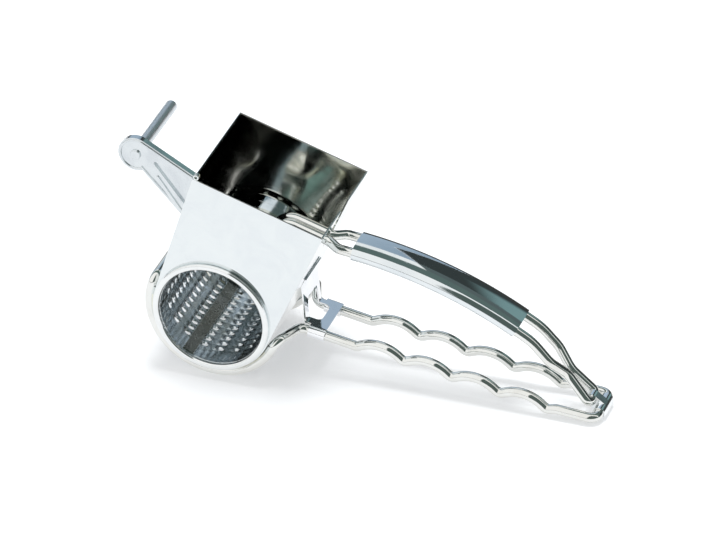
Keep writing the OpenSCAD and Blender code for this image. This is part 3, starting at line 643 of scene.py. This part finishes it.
def punched_cell(bm):
    """One tooth in its flat patch of sheet: an opening whose one side stands out."""
    def turn_of(v):
        return math.atan2(v.co.y, v.co.x)

    half_u, half_v = ROW_PITCH * DRUM_R / 2, TOOTH_PITCH / 2
    verts = bmesh.ops.create_circle(bm, cap_ends=False, segments=12, radius=1.0)["verts"]
    edges = bm.edges[:]
    # Opening, lifted lip and foot of the lip, as ovals: half lengths, shift, lift
    ovals = [(1.65, 1.45, 0.0, 0.9), (1.85, 1.6, -0.12, 0.75), (2.75, 1.85, -0.5, 0.0)]
    loops = []
    for oval in ovals:
        loops.append((verts, oval))
        verts, edges = pulled(bm, edges)
    outer = sorted(verts, key=turn_of)
    for loop, (a, b, shift, lift) in loops:
        for v in loop:
            t = turn_of(v)
            out = max(0.0, (1 - math.cos(t)) / 2) ** 0.8
            v.co = Vector((shift + a * math.cos(t), b * math.sin(t), lift * out))
    # Corners and third points of the patch, in the same order as the outer loop
    rim = sorted(
        ((x, y) for x, y in (
            (1, 1), (1 / 3, 1), (-1 / 3, 1), (-1, 1), (-1, 1 / 3), (-1, -1 / 3), (-1, -1),
            (-1 / 3, -1), (1 / 3, -1), (1, -1), (1, -1 / 3), (1, 1 / 3),
        )),
        key=lambda p: math.atan2(p[1], p[0]),
    )
    for v, (x, y) in zip(outer, rim):
        v.co = Vector((half_u * x, half_v * y, 0))


def punched_row(bm):
    """A row of teeth along the drum, with the plain bands in front of it and behind it."""
    punched_cell(bm)
    cell = bm.verts[:] + bm.edges[:] + bm.faces[:]
    for k in range(1, ROW_TEETH):
        copied = bmesh.ops.duplicate(bm, geom=cell)["geom"]
        bmesh.ops.translate(
            bm, verts=[v for v in copied if isinstance(v, bmesh.types.BMVert)],
            vec=(0, k * TOOTH_PITCH, 0),
        )
    bmesh.ops.remove_doubles(bm, verts=bm.verts, dist=0.01)
    for edge_y, to_y, steps in (
        (-TOOTH_PITCH / 2, -MOUTH_BAND, 3),
        ((ROW_TEETH - 0.5) * TOOTH_PITCH, DRUM_BACK - DRUM_FRONT - MOUTH_BAND, 1),
    ):
        side = [
            e for e in bm.edges
            if len(e.link_faces) == 1 and all(abs(v.co.y - edge_y) < 0.01 for v in e.verts)
        ]
        for _ in range(steps):
            verts, side = pulled(bm, side)
            bmesh.ops.translate(bm, verts=verts, vec=(0, (to_y - edge_y) / steps, 0))


def close_seam(bm):
    """Plain strip between the last row and the first."""
    def at_seam(v, sign):
        want = SEAM + sign * SEAM_EXTRA / 2
        a = math.atan2(v.co.z, v.co.x)
        return abs(math.remainder(a - want, math.tau)) < 0.001

    ends = [
        [e for e in bm.edges if len(e.link_faces) == 1 and all(at_seam(v, s) for v in e.verts)]
        for s in (-1, 1)
    ]
    bmesh.ops.bridge_loops(bm, edges=ends[0] + ends[1])


def drum():
    """Rolled sheet with rows of punched teeth, thickened inwards."""
    bm = bmesh.new()
    punched_row(bm)
    first = SEAM + SEAM_EXTRA / 2 + ROW_PITCH / 2
    for v in bm.verts:
        a = first + v.co.x / DRUM_R
        r = DRUM_R + v.co.z
        v.co = Vector((r * math.cos(a), v.co.y + DRUM_FRONT + MOUTH_BAND, r * math.sin(a)))
    bmesh.ops.spin(
        bm, geom=bm.verts[:] + bm.edges[:] + bm.faces[:], cent=(0, 0, 0), axis=(0, -1, 0),
        dvec=(0, 0, 0), angle=ROW_PITCH * (ROWS - 1), steps=ROWS - 1, use_duplicate=True,
    )
    bmesh.ops.remove_doubles(bm, verts=bm.verts, dist=0.01)
    close_seam(bm)
    bmesh.ops.recalc_face_normals(bm, faces=bm.faces)
    if sum(f.normal.dot(Vector((f.calc_center_median().x, 0, f.calc_center_median().z)))
           for f in bm.faces) < 0:
        bmesh.ops.reverse_faces(bm, faces=bm.faces)
    bmesh.ops.solidify(bm, geom=bm.faces[:], thickness=DRUM_T)
    return bm


def mouth_ring():
    """Rolled ring in front of the plate, and the collar behind it."""
    ball_y = DRUM_FRONT - RING_BALL
    profile = (
        [(COLLAR_IN, COLLAR_BACK), (COLLAR_OUT, COLLAR_BACK), (COLLAR_OUT, DRUM_FRONT)]
        + arc_points(RING_OUT - RING_BALL, ball_y, RING_BALL, 90, -90, 12)
        + arc_points(RING_IN + RING_BALL, ball_y, RING_BALL, -90, -180, 6)
        + [(RING_IN, DRUM_FRONT), (COLLAR_IN, DRUM_FRONT)]
    )
    return turned(profile, steps=128)


# Grip

def grip_outline():
    """Cross section of the grip from the end of one curl over the crown to the other."""
    r_in, r_out = ROD / 2 + CURL_GAP, ROD / 2 + CURL_GAP + SHEET
    low, high, curl_steps, crown_steps = -70, 78, 14, 20
    half = (HALF_FROM + HALF_TO) / 2

    def outline(r):
        side = [(half + a, b) for a, b in arc_points(0, 0, r, low, high, curl_steps)]
        edge_x, edge_z = side[-1]
        middle = []
        for i in range(1, crown_steps):
            q = 1 - 2 * i / crown_steps
            middle.append((edge_x * q, edge_z + (r + GRIP_CROWN - edge_z) * (1 - q * q)))
        return side + middle + [(-a, b) for a, b in reversed(side)]

    return outline(r_out) + list(reversed(outline(r_in)))


def grip_sheet():
    """Crowned sheet with both sides curled round the rods, narrowing towards the hopper."""
    bm = bmesh.new()
    steps = 48
    ring = grip_outline()
    start = Vector((arc_at(ARC_FROM)[0], 0, arc_at(ARC_FROM)[1]))
    across = Vector((0, 1, 0))
    up = Vector((math.sin(ARC_FROM), 0, math.cos(ARC_FROM)))
    verts = [bm.verts.new(start + across * a + up * b) for a, b in ring]
    edges = [bm.edges.new((verts[i], verts[(i + 1) % len(verts)])) for i in range(len(verts))]
    centre = Vector((ARC_X, 0, GRIP_TOP - GRIP_R))
    bmesh.ops.spin(
        bm, geom=verts + edges, cent=centre, axis=(0, 1, 0), dvec=(0, 0, 0),
        angle=ARC_TO - ARC_FROM, steps=steps, use_merge=False, use_duplicate=False,
    )
    bm.verts.ensure_lookup_table()
    for end in (0, steps):
        face = [bm.verts[end * len(ring) + i] for i in range(len(ring))]
        for i in range(len(ring) // 2 - 1):
            bm.faces.new((face[i], face[i + 1], face[-2 - i], face[-1 - i]))
    # The rods spread a little towards the hinge, and the sheet with them
    half = (HALF_FROM + HALF_TO) / 2
    for v in bm.verts:
        a = math.atan2(v.co.x - centre.x, v.co.z - centre.z)
        side = v.co.y
        reach = max(-1.0, min(1.0, side / half))
        v.co.y = MID_Y + side + reach * (half_at(arc_at(a)[0]) - half)
    return bm


# Crank

def disc_ridge():
    """Raised ring round the crank's disc, open towards the arm."""
    bm = turned(arc_points(RIDGE_R, RIDGE_Y, RIDGE / 2, 0, -180, 8), steps=56,
                turn=math.radians(238))
    bmesh.ops.rotate(bm, verts=bm.verts, cent=(0, 0, 0),
                     matrix=Matrix.Rotation(math.radians(-150), 3, "Y"))
    bmesh.ops.translate(bm, verts=bm.verts, vec=(CRANK_LEN, 0, 0))
    return bm


def arm_ridge(hub, disc, short, side):
    """Raised edge along one side of the arm. hub and disc are its distances from the middles
    of the arm's two ends, and short is by how much it stops before the disc's middle."""
    slope = math.asin((hub - disc) / CRANK_LEN)
    out = Vector((math.sin(slope), 0, side * math.cos(slope)))
    along = Vector((math.cos(slope), 0, -side * math.sin(slope)))
    start = Vector((0, RIDGE_Y, 0)) + hub * out
    stop = Vector((CRANK_LEN, RIDGE_Y, 0)) + disc * out - short * along
    return bent_rod([start, stop], [0, 0], width=RIDGE, sides=16)


def rivet():
    """Rivet on which the crank's grip turns, with its flat head on the arm's front."""
    profile = (
        [(0.0, ARM_Y - 0.95), (1.4, ARM_Y - 0.93)]
        + arc_points(2.0, ARM_Y - 0.35, 0.5, -90, 0, 5)
        + [(2.5, ARM_Y), (1.5, ARM_Y), (1.5, ARM_Y + 42.9), (0.0, ARM_Y + 42.9)]
    )
    return turned(profile, CRANK_TIP, 40, closed=False)


def crank_tube():
    """Bored tube with a rounded closed end."""
    ease, round_r, end_t = 0.2, 1.2, 1.5
    profile = (
        [(TUBE_BORE_R, TUBE_Y), (TUBE_R - ease, TUBE_Y), (TUBE_R, TUBE_Y + ease)]
        + arc_points(TUBE_R - round_r, TUBE_Y + TUBE_LEN - round_r, round_r, 0, 90, 6)
        + [(0.0, TUBE_Y + TUBE_LEN)]
        + [(0.0, TUBE_Y + TUBE_LEN - end_t), (TUBE_BORE_R, TUBE_Y + TUBE_LEN - end_t)]
    )
    return turned(profile, CRANK_TIP, 48)


# The whole grater

def rods():
    rod_pair("hoop", hoop_path(), "base")
    rod_pair("leg", leg_path(), "base")
    bar("cross-bar", (-HOOP_R, HOOP_Y + CROSS_Z, CROSS_Z), "base")
    bar("hinge-bar", HINGE_CORNER, "base")
    path = handle_path()
    rod_pair("handle-rod", path, "press_handle")
    bar("handle-end-bar", path[0][-1], "press_handle")


def hopper():
    for solid in ("front_plate", "back_plate", "right_wall", "corner_tab"):
        eased(solid, hopper_sheet, "base")
    eased("leg_bracket", bracket_sheet, "base")
    eased("left_wall", wall_sheet, "base")
    eased("back_bush", steel, "base")


def handle_sheets():
    eased("presser_plate", grip_metal, "press_handle")
    eased("hinge_clip", clip_metal, "press_handle")
    stand("grip-plate", grip_sheet(), grip_metal, "press_handle")


def drum_body():
    stand("drum-shell", drum(), drum_metal, "drum", crease=50)
    eased("drum_seam", seam_metal, "drum", ease=0.08)
    eased("drum_back", drum_metal, "drum", ease=0.08)
    eased("drum_shaft", steel, "drum")
    stand("drum-rim", mouth_ring(), ring_metal, "drum")


def crank():
    eased("crank_arm", crank_metal, "drum", ease=0.2)
    for solid in ("crank_washer", "crank_nut"):
        eased(solid, steel, "drum", ease=0.15)
    for name, bm in (
        ("disc", disc_ridge()),
        ("high", arm_ridge(9.4, RIDGE_R, 0, -1)),
        ("low", arm_ridge(21.9, 2.0, 6, 1)),
    ):
        bmesh.ops.rotate(bm, verts=bm.verts, cent=(0, 0, 0),
                         matrix=Matrix.Rotation(-CRANK_TURN, 3, "Y"))
        stand("crank-edge-" + name, bm, crank_metal, "drum", nodes=[])
    stand("grip-pin", rivet(), crank_metal, "drum")
    stand("crank-grip", crank_tube(), tube_metal, "grip")


camera()
world()
floor()
lamp("overhead", (0, 0.1, 1.25), (0, 0, 0), 0.55, 9.5)
scene.view_settings.view_transform = "Standard"

MARKS = marks_group()
INSIDE = inside_group()
# Its faces in the hopper carry a warm pale painted reflection tint
hopper_sheet = metal(
    "hopper_sheet", (0.83, 0.87, 0.88), (0.8, 0.84, 0.86), (0.03, 0.1), (32, 0.08),
    painted_inside=(0.92, 0.92, 0.84), inside_wave=20,
)
# Its faces in the hopper are painted near black, a painted dark reflection and shade
wall_sheet = metal(
    "left_wall_sheet", (0.83, 0.87, 0.88), (0.8, 0.84, 0.86), (0.03, 0.1), (32, 0.04),
    painted_inside=(0.012, 0.013, 0.013),
)
bracket_sheet = metal(
    "bracket_sheet", (0.97, 0.98, 1.0), (0.9, 0.92, 0.95), (0.04, 0.1), (40, 0.05)
)
wire = metal("frame_wire", (0.86, 0.87, 0.85), (0.8, 0.8, 0.77), (0.03, 0.1), (90, 0.05))
grip_metal = metal(
    "grip_sheet", (0.82, 0.86, 0.88), (0.76, 0.81, 0.84), (0.03, 0.09), (40, 0.1)
)
drum_metal = metal(
    "drum_sheet", (0.7, 0.75, 0.79), (0.52, 0.55, 0.54), (0.07, 0.14), (120, 0.02)
)
seam_metal = metal(
    "drum_seam", (0.36, 0.35, 0.32), (0.3, 0.3, 0.27), (0.18, 0.3), (90, 0.02)
)
ring_metal = metal(
    "mouth_ring", (0.9, 0.92, 0.92), (0.85, 0.87, 0.87), (0.05, 0.12), (70, 0.05)
)
crank_metal = metal(
    "crank_sheet", (0.76, 0.8, 0.82), (0.69, 0.73, 0.76), (0.16, 0.26), (70, 0.08)
)
tube_metal = metal("crank_tube", (0.8, 0.84, 0.87), (0.74, 0.79, 0.82), (0.4, 0.5), (70, 0.04))
clip_metal = metal(
    "hinge_clip", (0.96, 0.98, 1.0), (0.9, 0.93, 0.95), (0.08, 0.16), (200, 0.03)
)
steel = metal(
    "small_steel", (0.66, 0.68, 0.67), (0.56, 0.58, 0.56), (0.12, 0.26), (200, 0.03)
)

rods()
hopper()
handle_sheets()
drum_body()
crank()
